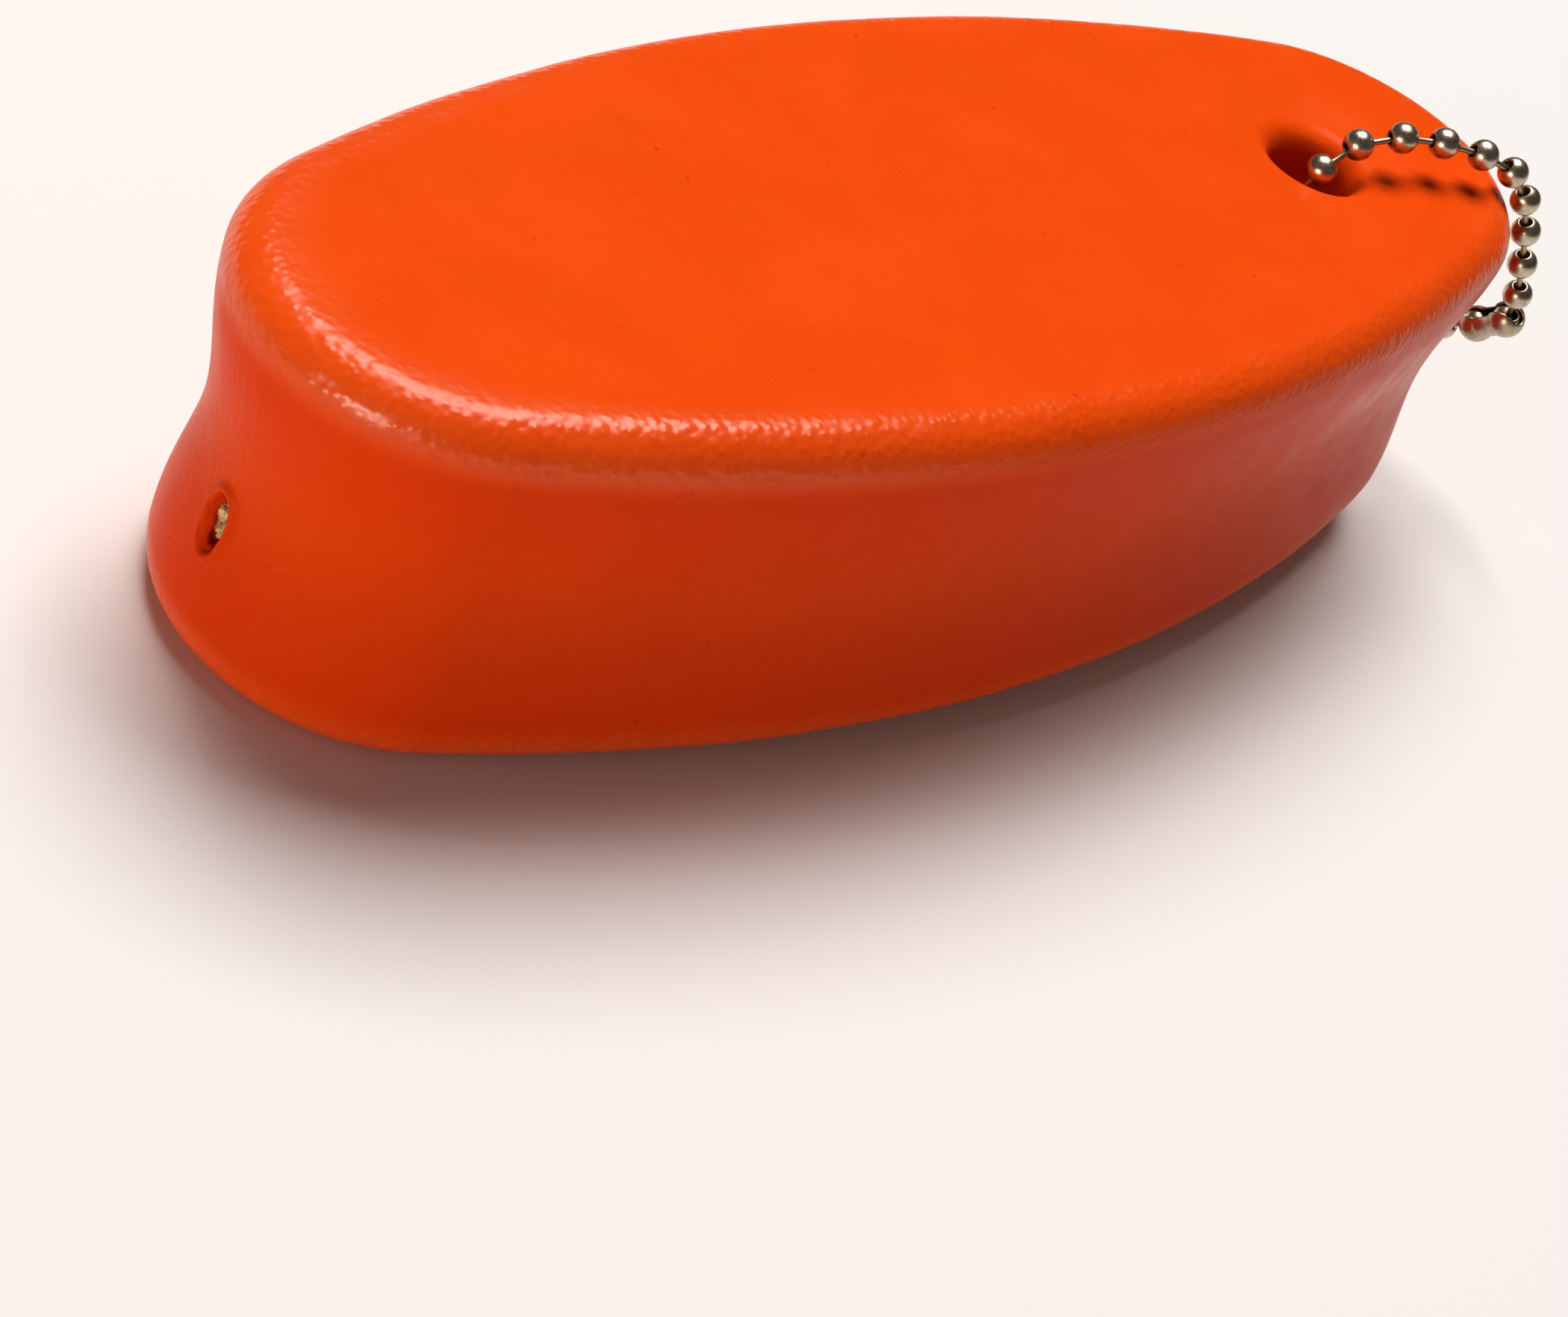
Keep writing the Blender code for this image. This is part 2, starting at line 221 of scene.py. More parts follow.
def float_surface(offset, steps):
    """The float's closed surface lying offset inside the true one, with a square window in
    the wall round the hook's hole. Returns points, faces and the window's edge, as vertex
    numbers and (across, up) places."""
    arcs = outline_arcs(steps["end"], steps["side"])
    count = len(arcs)
    wall_heights = [
        RIM_RADIUS + (FLOAT_HEIGHT - 2 * RIM_RADIUS) * i / steps["wall"]
        for i in range(1, steps["wall"])
    ]
    rows = wall_rows(offset, steps["rim"], wall_heights)
    rings = []
    for height, inset in rows:
        plan = outline_at(arcs, inset)
        rings.append(np.column_stack([plan, np.full(count, height)]))

    crest = outline_at(arcs, RIM_RADIUS)
    mouth = HOLE_RADIUS + LIP_RADIUS
    to_crest = np.arctan2(crest[:, 1] - HOLE_Y, crest[:, 0] - HOLE_X)
    to_crest = np.unwrap(to_crest)
    even = to_crest[0] + 2 * math.pi * np.arange(count) / count
    turn = 0.55 * even + 0.45 * to_crest
    circle = np.stack([np.cos(turn), np.sin(turn)], axis=1)
    hole = np.array([HOLE_X, HOLE_Y])

    def face_ring(plan, drop, upper):
        depth = sink(plan[:, 0], plan[:, 1]) + drop
        height = FLOAT_HEIGHT - depth if upper else depth
        return np.column_stack([plan, height])

    def annulus(upper):
        """From just inside the crest to just outside the hole's mouth."""
        made = []
        for i in range(1, steps["face"]):
            t = i / steps["face"]
            t = 1 - (1 - t) ** 1.5
            plan = crest * (1 - t) + (hole + circle * mouth) * t
            made.append(face_ring(plan, offset, upper))
        return made

    def lip(upper):
        """The rounded mouth, from the face into the hole."""
        made = []
        radius = LIP_RADIUS - offset
        for i in range(steps["lip"] + 1):
            a = math.pi / 2 * i / steps["lip"]
            plan = hole + circle * (mouth - radius * math.sin(a))
            rim = hole + circle * mouth
            drop = LIP_RADIUS - radius * math.cos(a)
            ring = face_ring(rim, drop, upper)
            made.append(np.column_stack([plan, ring[:, 2]]))
        return made

    upper_lip, lower_lip = lip(True), lip(False)
    top, bottom = upper_lip[-1], lower_lip[-1]
    tube = [
        top * (1 - i / steps["tube"]) + bottom * i / steps["tube"] for i in range(1, steps["tube"])
    ]
    rings += annulus(True) + upper_lip + tube + lower_lip[::-1] + annulus(False)[::-1]

    points = [tuple(p) for ring in rings for p in ring]
    middle = steps["end"] + steps["side"] + steps["end"] // 2
    spacing = 2 * JOIN * END_RADIUS / steps["end"]
    reach = int(round(HOOK_PATCH / spacing))
    left, right = middle - reach, middle + reach
    first_wall = steps["rim"] + 1
    inside = [
        j
        for j, height in enumerate(wall_heights, first_wall)
        if abs(height - HOOK_HEIGHT) <= HOOK_PATCH
    ]
    low, high = inside[0], inside[-1]
    faces = []
    for j in range(len(rings)):
        k = (j + 1) % len(rings)
        for i in range(count):
            if low <= j < high and left <= i < right:
                continue
            n = (i + 1) % count
            faces.append((j * count + i, j * count + n, k * count + n, k * count + i))
    edge = [(low, i) for i in range(left, right)] + [(j, right) for j in range(low, high)]
    edge += [(high, i) for i in range(right, left, -1)] + [(j, left) for j in range(high, low, -1)]
    numbers = [j * count + i for j, i in edge]
    places = [((i - middle) * spacing, rows[j][0] - HOOK_HEIGHT) for j, i in edge]
    return points, faces, numbers, places


def add_rings(points, faces, start, rings, close=False):
    """Adds rings of points after the ring of vertex numbers start; close ends on a point."""
    before = start
    for ring in rings:
        now = list(range(len(points), len(points) + len(ring)))
        points += ring
        faces += ring_faces(before, now)
        before = now
    if close:
        points.append(tuple(np.mean([points[i] for i in before], axis=0)))
        tip = len(points) - 1
        faces += [(before[i], before[(i + 1) % len(before)], tip) for i in range(len(before))]
    return before


def oval(places, grow, inward, ragged=0.0, seed=0.0):
    """A ring round the hook's hole, its oval grown by grow, at a depth below the wall."""
    ring = []
    for across, up in places:
        a = math.atan2(up, across)
        wobble = noise.noise(Vector((math.cos(a) * 1.7, math.sin(a) * 1.7, seed)))
        wobble += 0.5 * noise.noise(Vector((math.cos(a) * 4.5, math.sin(a) * 4.5, seed + 7)))
        size = grow + ragged * wobble
        u = (HOOK_HALF_WIDTH + size) * math.cos(a)
        v = (HOOK_HALF_HEIGHT + size) * math.sin(a)
        ring.append((u, v, inward))
    return ring


def blend_rings(places, grow, inward, count):
    """Rings from the window's square edge to the oval."""
    last = oval(places, grow, inward)
    rings = []
    for i in range(1, count + 1):
        t = i / count
        ring = []
        for (across, up), (u, v, depth) in zip(places, last):
            ring.append((across * (1 - t) + u * t, up * (1 - t) + v * t, depth * t**3))
        rings.append(ring)
    return rings


def on_wall(ring, offset):
    return [hook_point(across, up, inward + offset) for across, up, inward in ring]


def relief(mesh, amount, size, seed):
    """Moves the surface in and out by smooth noise, along its normals."""
    count = len(mesh.vertices)
    at = np.zeros(count * 3)
    mesh.vertices.foreach_get("co", at)
    at = at.reshape(-1, 3)
    normal = np.zeros(count * 3)
    mesh.vertex_normals.foreach_get("vector", normal)
    normal = normal.reshape(-1, 3)
    shift = np.array([noise.noise(Vector(p / size) + Vector((seed, 0, 0))) for p in at])
    at += normal * (amount * shift)[:, None]
    mesh.vertices.foreach_set("co", at.ravel())
    mesh.update()


def attribute(mesh, name, values):
    """A number at each vertex, for the material."""
    made = mesh.attributes.new(name, "FLOAT", "POINT")
    made.data.foreach_set("value", np.asarray(values, np.float32))


def coordinates(mesh):
    at = np.zeros(len(mesh.vertices) * 3)
    mesh.vertices.foreach_get("co", at)
    return at.reshape(-1, 3)


OUTER_STEPS = {"end": 90, "side": 110, "wall": 52, "rim": 10, "face": 34, "lip": 9, "tube": 10}
INNER_STEPS = {"end": 90, "side": 110, "wall": 52, "rim": 3, "face": 8, "lip": 4, "tube": 4}
CORE_STEPS = {"end": 60, "side": 60, "wall": 36, "rim": 4, "face": 12, "lip": 4, "tube": 6}


def coat_mesh():
    """The skin: outer surface, inner surface, and the throat that joins them at the hook's
    hole."""
    points, faces, edge, places = float_surface(0.0, OUTER_STEPS)
    edge_lift = [(HOOK_LIP, 0.0), (HOOK_LIP * 0.75, 0.45), (HOOK_LIP * 0.5, 0.9)]
    edge_lift += [(HOOK_LIP * 0.28, 1.0), (HOOK_LIP * 0.12, 0.75), (0.0, 0.2)]
    rings = blend_rings(places, HOOK_LIP, 0.0, 12)
    for grow, lift in edge_lift[1:]:
        ragged = 0.25 * MM * (1 - grow / HOOK_LIP)
        rings.append(oval(places, grow, -HOOK_LIP_RISE * lift, ragged, 1.0))
    throat_steps = 8
    for i in range(1, throat_steps + 1):
        t = i / throat_steps
        inward = HOOK_THROAT * t
        grow = -0.12 * MM * math.sin(math.pi * t)
        rings.append(oval(places, grow, inward, 0.28 * MM, 1.0 + 2.0 * t))
    for share in (0.25, 0.5, 0.75):
        turn = math.pi * share
        grow = THROAT_WALL / 2 * (1 - math.cos(turn))
        inward = HOOK_THROAT + THROAT_WALL / 2 * math.sin(turn)
        rings.append(oval(places, grow, inward, 0.28 * MM, 3.0))
    rings.append(oval(places, THROAT_WALL, HOOK_THROAT, 0.28 * MM, 3.0))
    rings.append(oval(places, THROAT_WALL * 1.2, HOOK_THROAT * 0.8, 0.1 * MM, 3.0))
    last = add_rings(points, faces, edge, [on_wall(ring, 0.0) for ring in rings])

    inner_points, inner_faces, inner_edge, inner_places = float_surface(SKIN, INNER_STEPS)
    start = len(points)
    points += inner_points
    faces += [tuple(start + i for i in reversed(face)) for face in inner_faces]
    inner_edge = [start + i for i in inner_edge]
    inner = blend_rings(inner_places, THROAT_WALL * 1.4, 0.0, 6)
    inner_last = add_rings(points, faces, inner_edge, [on_wall(ring, SKIN) for ring in inner])
    faces += ring_faces(last, inner_last)
    mesh = mesh_from("float_skin", points, faces)
    relief(mesh, 0.07 * MM, 12 * MM, 3.0)
    relief(mesh, 0.015 * MM, 3.5 * MM, 9.0)
    at = coordinates(mesh)
    x, y, z = at.T
    from_hook = np.hypot(y, z - HOOK_HEIGHT)
    at_end = smooth((-x - HALF_LENGTH) / (6 * MM))
    fan = at_end * (1 - smooth((from_hook - 4 * MM) / (14 * MM)))
    fan *= smooth((z - HOOK_HEIGHT + 6 * MM) / (7 * MM))
    attribute(mesh, "fan", fan)
    attribute(mesh, "fan_turn", np.arctan2(y, z - HOOK_HEIGHT + 4 * MM))
    attribute(mesh, "fan_reach", from_hook / (10 * MM))
    distance = edge_distance(x, y)
    height = np.minimum(z, FLOAT_HEIGHT - z)
    corner = 1 - smooth((np.maximum(distance, height) - 1.2 * MM) / (3.2 * MM))
    attribute(mesh, "rim", corner)
    # painted shade and red bounce light: the side walls, away from the rims, are marked for a
    # darker, redder colour
    painted_wall_shade = smooth((height - 1.5 * MM) / (3 * MM)) * (1 - smooth(distance / (3 * MM)))
    attribute(mesh, "painted_wall_shade", painted_wall_shade)
    attribute(mesh, "gloss", corner * (0.3 + 0.7 * smooth((-x - 5 * MM) / (30 * MM))))
    return mesh


def core_mesh():
    """The foam, with the rough bore that the dipping hook left."""
    inset = SKIN + GAP
    points, faces, edge, places = float_surface(inset, CORE_STEPS)
    room = 0.75 * MM
    rings = blend_rings(places, room, 0.0, 5)
    for inward in (0.2, 0.35, 0.5, 0.65, 0.8, 0.95):
        close = smooth((inward - 0.35) / 0.6)
        grow = room * (1 - close) - 0.05 * MM * close
        rings.append(oval(places, grow, inward * MM, 0.4 * MM * close, 11 + inward * 3))
    for step in range(1, 8):
        ring = oval(places, 0.0, 0.95 * MM, 0.4 * MM, 20 + step * 0.4)
        shrink = 1 - step / 8
        pit = []
        for u, v, depth in ring:
            at = Vector((u * shrink, v * shrink, 0)) / (0.8 * MM)
            rough = 0.5 * MM * noise.noise(at + Vector((4.0, 0, 0)))
            rough += 0.25 * MM * noise.noise(at * 2.7)
            pit.append((u * shrink, v * shrink, depth + 0.3 * MM * (1 - shrink) + rough))
        rings.append(pit)
    add_rings(points, faces, edge, [on_wall(ring, inset) for ring in rings], close=True)
    return mesh_from("foam_body", points, faces)


def crumb_mesh():
    """Crumbs of torn foam on one side of the hook's bore."""
    work = bmesh.new()
    # across, up, how deep, and size, in millimetres
    crumbs = [
        (0.75, 0.30, 0.95, 0.42),
        (0.90, -0.35, 1.05, 0.44),
        (0.55, 0.85, 1.30, 0.46),
        (0.75, -1.00, 1.10, 0.42),
        (0.30, -1.45, 1.35, 0.45),
        (0.30, 0.15, 1.45, 0.55),
        (0.25, -0.65, 1.40, 0.50),
        (-0.25, 0.75, 1.80, 0.50),
        (-0.30, -0.25, 1.85, 0.50),
        (0.20, 1.45, 1.70, 0.45),
    ]
    for index, (across, up, inward, size) in enumerate(crumbs):
        made = bmesh.ops.create_icosphere(work, subdivisions=4, radius=size * MM)
        centre = Vector(hook_point(-across * MM, up * MM, inward * MM))
        for vert in made["verts"]:
            way = vert.co.normalized()
            rough = noise.noise(way * 1.6 + Vector((index * 3.1, 0, 0)))
            rough += 0.5 * noise.noise(way * 4.0 + Vector((0, index * 2.3, 0)))
            vert.co = centre + vert.co * (1 + 0.5 * rough)
    mesh = bpy.data.meshes.new("foam_crumbs")
    work.to_mesh(mesh)
    work.free()
    return mesh


# ---- materials ----
class Shades:
    """A material's nodes, added and joined by name."""

    def __init__(self, name):
        self.material = bpy.data.materials.new(name)
        self.material.use_nodes = True
        self.tree = self.material.node_tree
        self.shader = self.tree.nodes["Principled BSDF"]

    def add(self, kind, inputs=None, **settings):
        made = self.tree.nodes.new("ShaderNode" + kind)
        for key, value in settings.items():
            setattr(made, key, value)
        for key, value in (inputs or {}).items():
            self.feed(made.inputs[key], value)
        return made

    def feed(self, socket, value):
        if isinstance(value, bpy.types.NodeSocket):
            self.tree.links.new(value, socket)
        elif isinstance(value, tuple) and len(value) == 3 and socket.type == "RGBA":
            socket.default_value = (*value, 1.0)
        else:
            socket.default_value = value

    def set(self, **values):
        for key, value in values.items():
            self.feed(self.shader.inputs[key.replace("_", " ")], value)

    def object_place(self):
        return self.add("TexCoord").outputs["Object"]

    def number(self, name):
        return self.add("Attribute", attribute_name=name).outputs["Fac"]

    def noise(self, place, cell, detail=2.0, rough=0.5):
        """Noise whose lumps are about cell across."""
        inputs = {"Vector": place, "Scale": 1 / cell, "Detail": detail, "Roughness": rough}
        return self.add("TexNoise", inputs).outputs["Fac"]

    def math(self, operation, a, b=0.0):
        return self.add("Math", {0: a, 1: b}, operation=operation).outputs[0]

    def spread(self, value, low, high, to_low=0.0, to_high=1.0):
        """value from low..high carried to to_low..to_high, and held there outside."""
        inputs = {"Value": value, "From Min": low, "From Max": high}
        inputs.update({"To Min": to_low, "To Max": to_high})
        return self.add("MapRange", inputs, interpolation_type="SMOOTHSTEP").outputs["Result"]

    def mix(self, share, a, b):
        made = self.add("Mix", data_type="RGBA")
        self.feed(made.inputs["Factor"], share)
        self.feed(made.inputs[6], a)
        self.feed(made.inputs[7], b)
        return made.outputs[2]

    def bump(self, height, distance, strength=1.0, under=None):
        inputs = {"Height": height, "Distance": distance, "Strength": strength}
        if under is not None:
            inputs["Normal"] = under
        return self.add("Bump", inputs).outputs["Normal"]


def vinyl():
    """Dipped vinyl: saturated orange, semi-gloss, with a fine pebble strongest on the rims
    and fine creases drawn out round the hook's hole; the side walls carry painted shade and red
    bounce light."""
    m = Shades("dipped_vinyl")
    place = m.object_place()
    rim = m.number("rim")
    fan = m.number("fan")
    cloud = m.noise(place, 9 * MM, 3.0)
    colour = m.mix(m.spread(cloud, 0.3, 0.7), (0.77, 0.082, 0.0040), (0.81, 0.092, 0.0050))
    grain = m.noise(place, 0.35 * MM, 2.0, 0.7)
    colour = m.mix(m.spread(grain, 0.3, 0.7, 0.0, 0.3), colour, (0.85, 0.110, 0.007))
    colour = m.mix(m.math("MULTIPLY", rim, 0.3), colour, (0.86, 0.115, 0.009))
    # painted shade and red bounce light: the side walls darker and redder
    colour = m.mix(m.math("MULTIPLY", m.number("painted_wall_shade"), 0.75), colour, (0.69, 0.048, 0.002))
    speck = m.noise(place, 1.1 * MM, 1.0)
    colour = m.mix(m.spread(speck, 0.76, 0.82, 0.0, 0.4), colour, (0.50, 0.02, 0.001))
    m.set(Base_Color=colour)

    pebble = m.add(
        "TexVoronoi",
        {"Vector": place, "Scale": 1 / (0.62 * MM), "Smoothness": 0.8, "Randomness": 1.0},
        feature="SMOOTH_F1",
    ).outputs["Distance"]
    share = m.spread(rim, 0.0, 0.9, 0.05, 1.0)
    normal = m.bump(m.math("MULTIPLY", pebble, -1.0), 0.085 * MM, share)
    normal = m.bump(m.noise(place, 2.6 * MM, 2.0), 0.03 * MM, 0.5, normal)
    normal = m.bump(grain, 0.004 * MM, 0.6, normal)
    turn = m.math("MULTIPLY", m.number("fan_turn"), 26.0)
    crease_place = m.add("CombineXYZ", {"X": turn, "Y": m.number("fan_reach")}).outputs[0]
    crease_inputs = {"Vector": crease_place, "Scale": 1.3, "Detail": 3.0, "Roughness": 0.6}
    crease = m.add("TexNoise", crease_inputs).outputs["Fac"]
    normal = m.bump(crease, 0.10 * MM, m.math("MULTIPLY", fan, 0.9), normal)
    m.set(Normal=normal)
    rough = m.spread(m.noise(place, 4 * MM, 2.0), 0.3, 0.7, 0.25, 0.33)
    m.set(Roughness=rough)
    level = m.spread(m.number("gloss"), 0.0, 1.0, 0.05, 0.5)
    m.set(IOR=1.46, Specular_IOR_Level=level)
    return m.material


def foam():
    """Cream closed-cell foam, torn where it shows."""
    m = Shades("cell_foam")
    place = m.object_place()
    patch = m.noise(place, 0.7 * MM, 3.0)
    colour = m.mix(m.spread(patch, 0.35, 0.65), (0.36, 0.19, 0.075), (0.78, 0.58, 0.31))
    m.set(Base_Color=colour, Roughness=0.85)
    cells = m.add("TexVoronoi", {"Vector": place, "Scale": 1 / (0.22 * MM)}).outputs["Distance"]
    normal = m.bump(cells, 0.08 * MM, 0.8)
    m.set(Normal=m.bump(m.noise(place, 0.5 * MM, 4.0), 0.12 * MM, 0.7, normal))
    return m.material


def nickel():
    """Warm, slightly dulled nickel plate, with painted shade: darker inside the beads and round
    their holes, and a little darker on the pins and the connector.
    """
    m = Shades("nickel_plate")
    place = m.object_place()
    painted_metal_shade = m.number("painted_metal_shade")
    haze = m.noise(place, 0.5 * MM, 4.0, 0.65)
    colour = m.mix(m.spread(haze, 0.35, 0.7), (0.50, 0.41, 0.31), (0.66, 0.58, 0.47))
    # painted shade: darker brown inside the beads, round their holes, and a little on the pins and
    # connector
    colour = m.mix(painted_metal_shade, colour, (0.34, 0.25, 0.17))
    m.set(Base_Color=colour, Metallic=1.0)
    smear = m.noise(place, 0.18 * MM, 3.0, 0.7)
    rough = m.math("ADD", m.spread(smear, 0.3, 0.7, 0.24, 0.36), m.math("MULTIPLY", painted_metal_shade, 0.2))
    m.set(Roughness=rough)
    fine = m.bump(smear, 0.004 * MM, 0.6)
    m.set(Normal=m.bump(haze, 0.010 * MM, 0.5, fine))
    return m.material


# ---- the chain ----
def turned_rings(profile, steps):
    """Points turned about Z from (height, radius) pairs, and each pair's vertex numbers."""
    points, rings = [], []
    for height, radius in profile:
        ring = []
        for i in range(steps):
            a = 2 * math.pi * i / steps
            ring.append(len(points))
            points.append((radius * math.cos(a), radius * math.sin(a), height))
        rings.append(ring)
    return points, rings


def bead_mesh():
    """A thin hollow ball with a rolled hole at each end."""
    inner = BEAD_RADIUS - BEAD_WALL
    roll = 0.11 * MM
    edge = math.asin((BEAD_HOLE_RADIUS + roll) / BEAD_RADIUS)
    # painted shade on each ring: darkest inside the ball and on the rolled holes, fading out over
    # the outside near them
    profile, painted_metal_shade = [], []
    outer_steps = 26
    for i in range(outer_steps + 1):
        a = edge + (math.pi - 2 * edge) * i / outer_steps
        profile.append((-BEAD_RADIUS * math.cos(a), BEAD_RADIUS * math.sin(a)))
        from_hole = min(a, math.pi - a) - edge
        painted_metal_shade.append(0.55 * (1 - float(smooth(from_hole / 0.35))))
    height = BEAD_RADIUS * math.cos(edge) - roll
    for i in range(1, 5):
        a = math.pi * i / 5
        profile.append((height + roll * math.cos(a), BEAD_HOLE_RADIUS + roll * (1 - math.sin(a))))
        painted_metal_shade.append(0.9)
    inner_edge = math.asin((BEAD_HOLE_RADIUS + roll) / inner)
    inner_steps = 10
    for i in range(inner_steps + 1):
        a = inner_edge + (math.pi - 2 * inner_edge) * i / inner_steps
        profile.append((inner * math.cos(a) * 0.93, inner * math.sin(a)))
        painted_metal_shade.append(1.0)
    for i in range(4, 0, -1):
        a = math.pi * i / 5
        profile.append((-height - roll * math.cos(a), BEAD_HOLE_RADIUS + roll * (1 - math.sin(a))))
        painted_metal_shade.append(0.9)
    points, rings = turned_rings(profile, BEAD_SIDES)
    faces = []
    for i, ring in enumerate(rings):
        faces += ring_faces(ring, rings[(i + 1) % len(rings)])
    mesh = mesh_from("bead", points, faces)
    attribute(mesh, "painted_metal_shade", np.repeat(painted_metal_shade, BEAD_SIDES))
    return mesh


def pin_mesh(name, reach, far_head):
    """A pin along Z: a domed head at 0 and another, or a bare end, at reach."""
    half = 0.16 * MM
    head = [(-1.0, 0.02), (-0.85, 0.5), (-0.4, 0.88), (0.1, 1.0), (0.7, 0.86), (1.4, 0.5)]
    near = [(height * half, radius * PIN_HEAD_RADIUS) for height, radius in head]
    near.append((2.4 * half, PIN_RADIUS * 1.12))
    near.append((3.4 * half, PIN_RADIUS))
    if far_head:
        far = [(reach - height, radius) for height, radius in reversed(near)]
    else:
        end = reach + HEAD_OFFSET - BEAD_RADIUS - GAP
        far = [(end - 0.10 * MM, PIN_RADIUS), (end - 0.02 * MM, PIN_RADIUS * 0.75), (end, 0.01 * MM)]
    points, rings = turned_rings(near + far, PIN_SIDES)
    faces = [tuple(reversed(rings[0])), tuple(rings[-1])]
    for low, high in zip(rings, rings[1:]):
        faces += ring_faces(low, high)
    mesh = mesh_from(name, points, faces)
    # painted shade: the pins a little darker all over
    attribute(mesh, "painted_metal_shade", [0.35] * len(points))
    return mesh


def connector_mesh(pitch):
    """A shell over two beads, pinched between them, with a slot down one side."""

    def section(radius, neck, steps):
        """(height, radius) pairs from one end's opening to the other's."""
        waist = pitch / 2 - math.sqrt(radius**2 - neck**2)
        first = math.atan2(neck, pitch / 2 - waist)
        last = math.pi - math.asin(CONNECTOR_HOLE / radius)
        pairs = []
        for i in range(steps + 1):
            a = last - (last - first) * i / steps
            pairs.append((-pitch / 2 + radius * math.cos(a), radius * math.sin(a)))
        return pairs + [(-height, size) for height, size in reversed(pairs)]

    outer = section(CONNECTOR_RADIUS, CONNECTOR_NECK, 22)
    inner = section(CONNECTOR_RADIUS - CONNECTOR_WALL, CONNECTOR_NECK - CONNECTOR_WALL, 14)
    half = CONNECTOR_SLOT / 2
    steps = 48

    def sweep(profile):
        """Rings along the profile, each an arc that leaves the slot open."""
        rings = []
        for height, radius in profile:
            gap = math.asin(min(1.0, half / max(radius, half * 1.001)))
            arc = [gap + (2 * math.pi - 2 * gap) * i / steps for i in range(steps + 1)]
            rings.append([(radius * math.cos(a), radius * math.sin(a), height) for a in arc])
        return rings

    rings = sweep(outer) + sweep(inner)[::-1]
    points = [p for ring in rings for p in ring]
    count = steps + 1
    faces = []
    total = len(rings)
    for j in range(total):
        k = (j + 1) % total
        for i in range(steps):
            faces.append((j * count + i, j * count + i + 1, k * count + i + 1, k * count + i))
    outer_count, inner_count = len(outer), len(inner)
    for side in (0, steps):
        rim_out = [j * count + side for j in range(outer_count)]
        rim_in = [(total - 1 - j) * count + side for j in range(inner_count)]
        a, b = 0, 0
        while a < outer_count - 1 or b < inner_count - 1:
            share_a = (a + 1) / (outer_count - 1) if a < outer_count - 1 else 2.0
            share_b = (b + 1) / (inner_count - 1) if b < inner_count - 1 else 2.0
            if share_a <= share_b:
                faces.append((rim_out[a], rim_out[a + 1], rim_in[b]))
                a += 1
            else:
                faces.append((rim_out[a], rim_in[b + 1], rim_in[b]))
                b += 1
    mesh = mesh_from("connector", points, faces)
    # painted shade: the connector a little darker all over
    attribute(mesh, "painted_metal_shade", [0.3] * len(points))
    return mesh


def middle_of(node):
    low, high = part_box(node)
    return (low + high) / 2


def along(direction):
    return direction.to_track_quat("Z", "Y").to_matrix().to_4x4()


def make_chain():
    metal = nickel()
    centres = [middle_of(f"bead_{number:02d}") for number in range(1, BEAD_COUNT + 1)]
    pitch = (centres[1] - centres[0]).length
    reach = pitch - 2 * HEAD_OFFSET
    bead = bead_mesh()
    pin = pin_mesh("pin", reach, True)
    open_pin = pin_mesh("open_pin", reach, False)

    def add(name, mesh, node, at, turn):
        where = Matrix.Translation(at) @ turn
        new_object(name, mesh, metal, BODY_OF[node], node, where)

    for number in range(1, BEAD_COUNT + 1):
        here = centres[number - 1]
        before, after = centres[number - 2], centres[number % BEAD_COUNT]
        spin = Matrix.Rotation(number * 2.4, 4, "Z")
        name = f"bead_{number:02d}"
        add(f"plated_{name}", bead, name, here, along(after - before) @ spin)
        name = f"pin_{number:02d}"
        way = (after - here).normalized()
        if number == FIRST_IN_CONNECTOR:
            continue
        if number == FIRST_IN_CONNECTOR + 1:
            add(f"plated_{name}", open_pin, name, after - way * HEAD_OFFSET, along(-way))
        else:
            add(f"plated_{name}", pin, name, here + way * HEAD_OFFSET, along(way))

    first, second = centres[FIRST_IN_CONNECTOR - 1], centres[FIRST_IN_CONNECTOR]
    axis = (second - first).normalized()
    middle = (first + second) / 2
    inward = (centres[FIRST_IN_CONNECTOR - 2] + centres[FIRST_IN_CONNECTOR + 1]) / 2 - middle
    inward = (inward - inward.project(axis)).normalized()
    turn = Matrix((inward, axis.cross(inward), axis)).transposed().to_4x4()
    add("plated_connector", connector_mesh(pitch), "chain_connector", middle, turn)


# ---- stage, light and camera ----
LEAN = math.radians(1.67)  # the float lies tipped, on its hook end and the chain beneath it
LOW_X = -52 * MM  # where the hook end's lower rim meets the ground
FLOOR_HALF = 3.0
FLOOR_CLEAR = 0.05 * MM


def pale_floor():
    m = Shades("pale_floor")
    m.set(Base_Color=(0.80, 0.80, 0.80), Roughness=0.8)
    return m.material


def make_stage():
    signs = [(-1, -1), (1, -1), (1, 1), (-1, 1)]
    corners = [(x * FLOOR_HALF, y * FLOOR_HALF, 0) for x, y in signs]
    mesh = mesh_from("floor", corners, [(0, 1, 2, 3)])
    floor = bpy.data.objects.new("floor", mesh)
    bpy.context.scene.collection.objects.link(floor)
    mesh.materials.append(pale_floor())
    tilt = Matrix.Rotation(LEAN, 4, "Y")
    floor.matrix_world = Matrix.Translation((LOW_X, 0, -FLOOR_CLEAR)) @ tilt


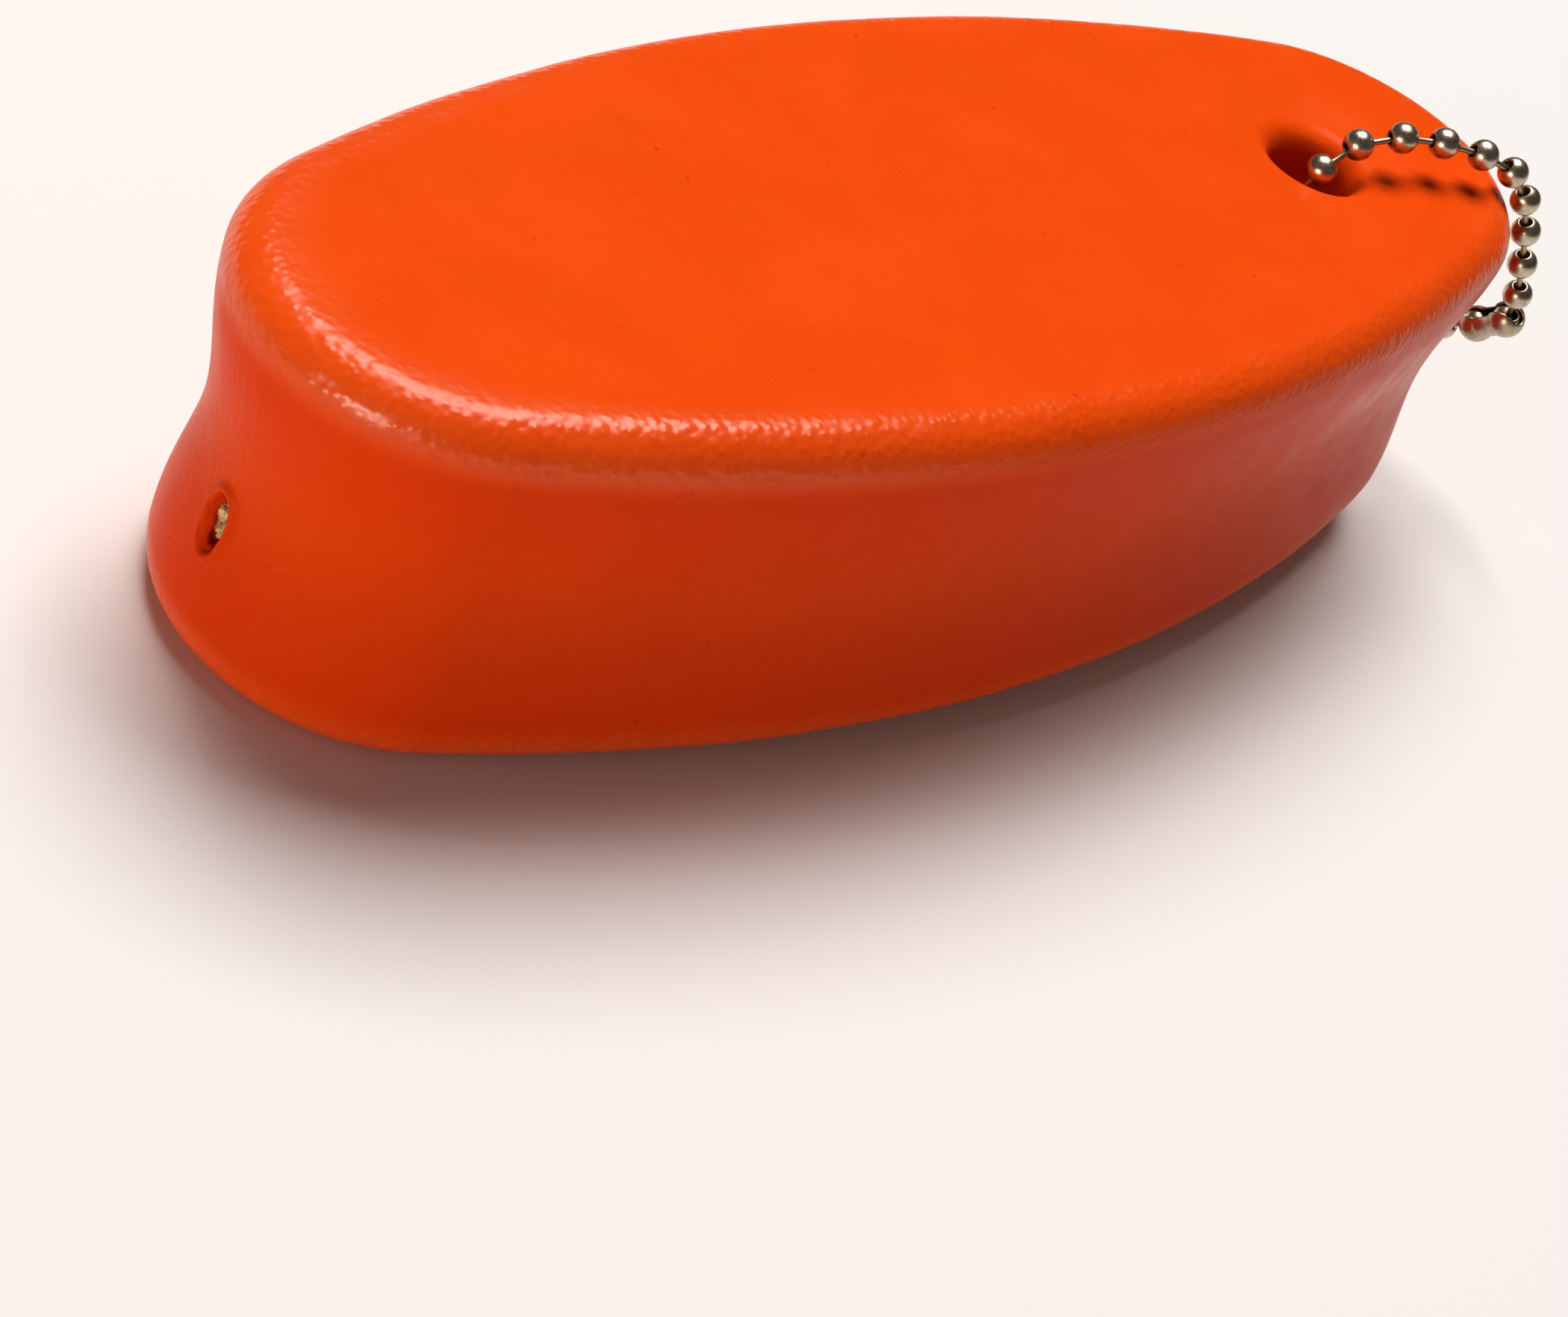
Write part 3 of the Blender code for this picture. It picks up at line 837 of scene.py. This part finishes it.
def area_light(name, at, target, size, power, colour):
    light = bpy.data.lights.new(name, "AREA")
    light.shape = "RECTANGLE"
    light.size, light.size_y = size
    light.energy = power
    light.color = colour
    obj = bpy.data.objects.new(name, light)
    bpy.context.scene.collection.objects.link(obj)
    obj.location = at
    obj.rotation_mode = "QUATERNION"
    obj.rotation_quaternion = (Vector(target) - Vector(at)).to_track_quat("-Z", "Y")


def from_angles(azimuth, elevation, distance):
    """A place seen from the float in a compass direction from +X and at a height angle."""
    a, e = math.radians(azimuth), math.radians(elevation)
    way = Vector((math.cos(e) * math.cos(a), math.cos(e) * math.sin(a), math.sin(e)))
    return way * distance


def make_lights():
    centre = Vector((0, 0, FLOAT_HEIGHT / 2))
    top = from_angles(52, 66, 2.0)
    area_light("overhead", top, centre, (1.2, 1.2), 42.0, (1.0, 0.96, 0.92))
    rim = Vector((-0.048, -0.008, 0.025)) + from_angles(-162, 6, 0.55)
    area_light("rim_lamp", rim, (-0.045, -0.008, 0.024), (0.28, 0.022), 1.15, (1.0, 0.92, 0.80))
    world = bpy.data.worlds.new("studio")
    bpy.context.scene.world = world
    world.use_nodes = True
    background = world.node_tree.nodes["Background"]
    background.inputs["Color"].default_value = (1.0, 0.94, 0.88, 1.0)
    background.inputs["Strength"].default_value = 0.08


# The camera: where it stands, and its right, down and forward directions.
EYE = Vector((-0.1410, -0.1052, 0.1262))
RIGHT = Vector((0.74949, -0.57171, 0.33379))
DOWN = Vector((-0.20608, -0.68064, -0.70304))
FORWARD = Vector((0.62912, 0.45813, -0.62795))
LENS = 68.0


def make_camera():
    data = bpy.data.cameras.new("camera")
    data.lens = LENS
    data.sensor_width = 36.0
    data.clip_start = 0.01
    data.clip_end = 20.0
    camera = bpy.data.objects.new("camera", data)
    bpy.context.scene.collection.objects.link(camera)
    turn = Matrix((RIGHT, -DOWN, -FORWARD)).transposed().to_4x4()
    camera.matrix_world = Matrix.Translation(EYE) @ turn
    bpy.context.scene.camera = camera


def make_float():
    skin = new_object("float_skin", coat_mesh(), vinyl(), "float", "vinyl_coat")
    cream = foam()
    core = new_object("foam_body", core_mesh(), cream, "float", "foam_core")
    new_object("foam_crumbs", crumb_mesh(), cream, "float", None)


make_camera()
make_float()
make_chain()
make_stage()
make_lights()
view = bpy.context.scene.view_settings
view.view_transform = "Standard"
view.look = "Medium High Contrast"
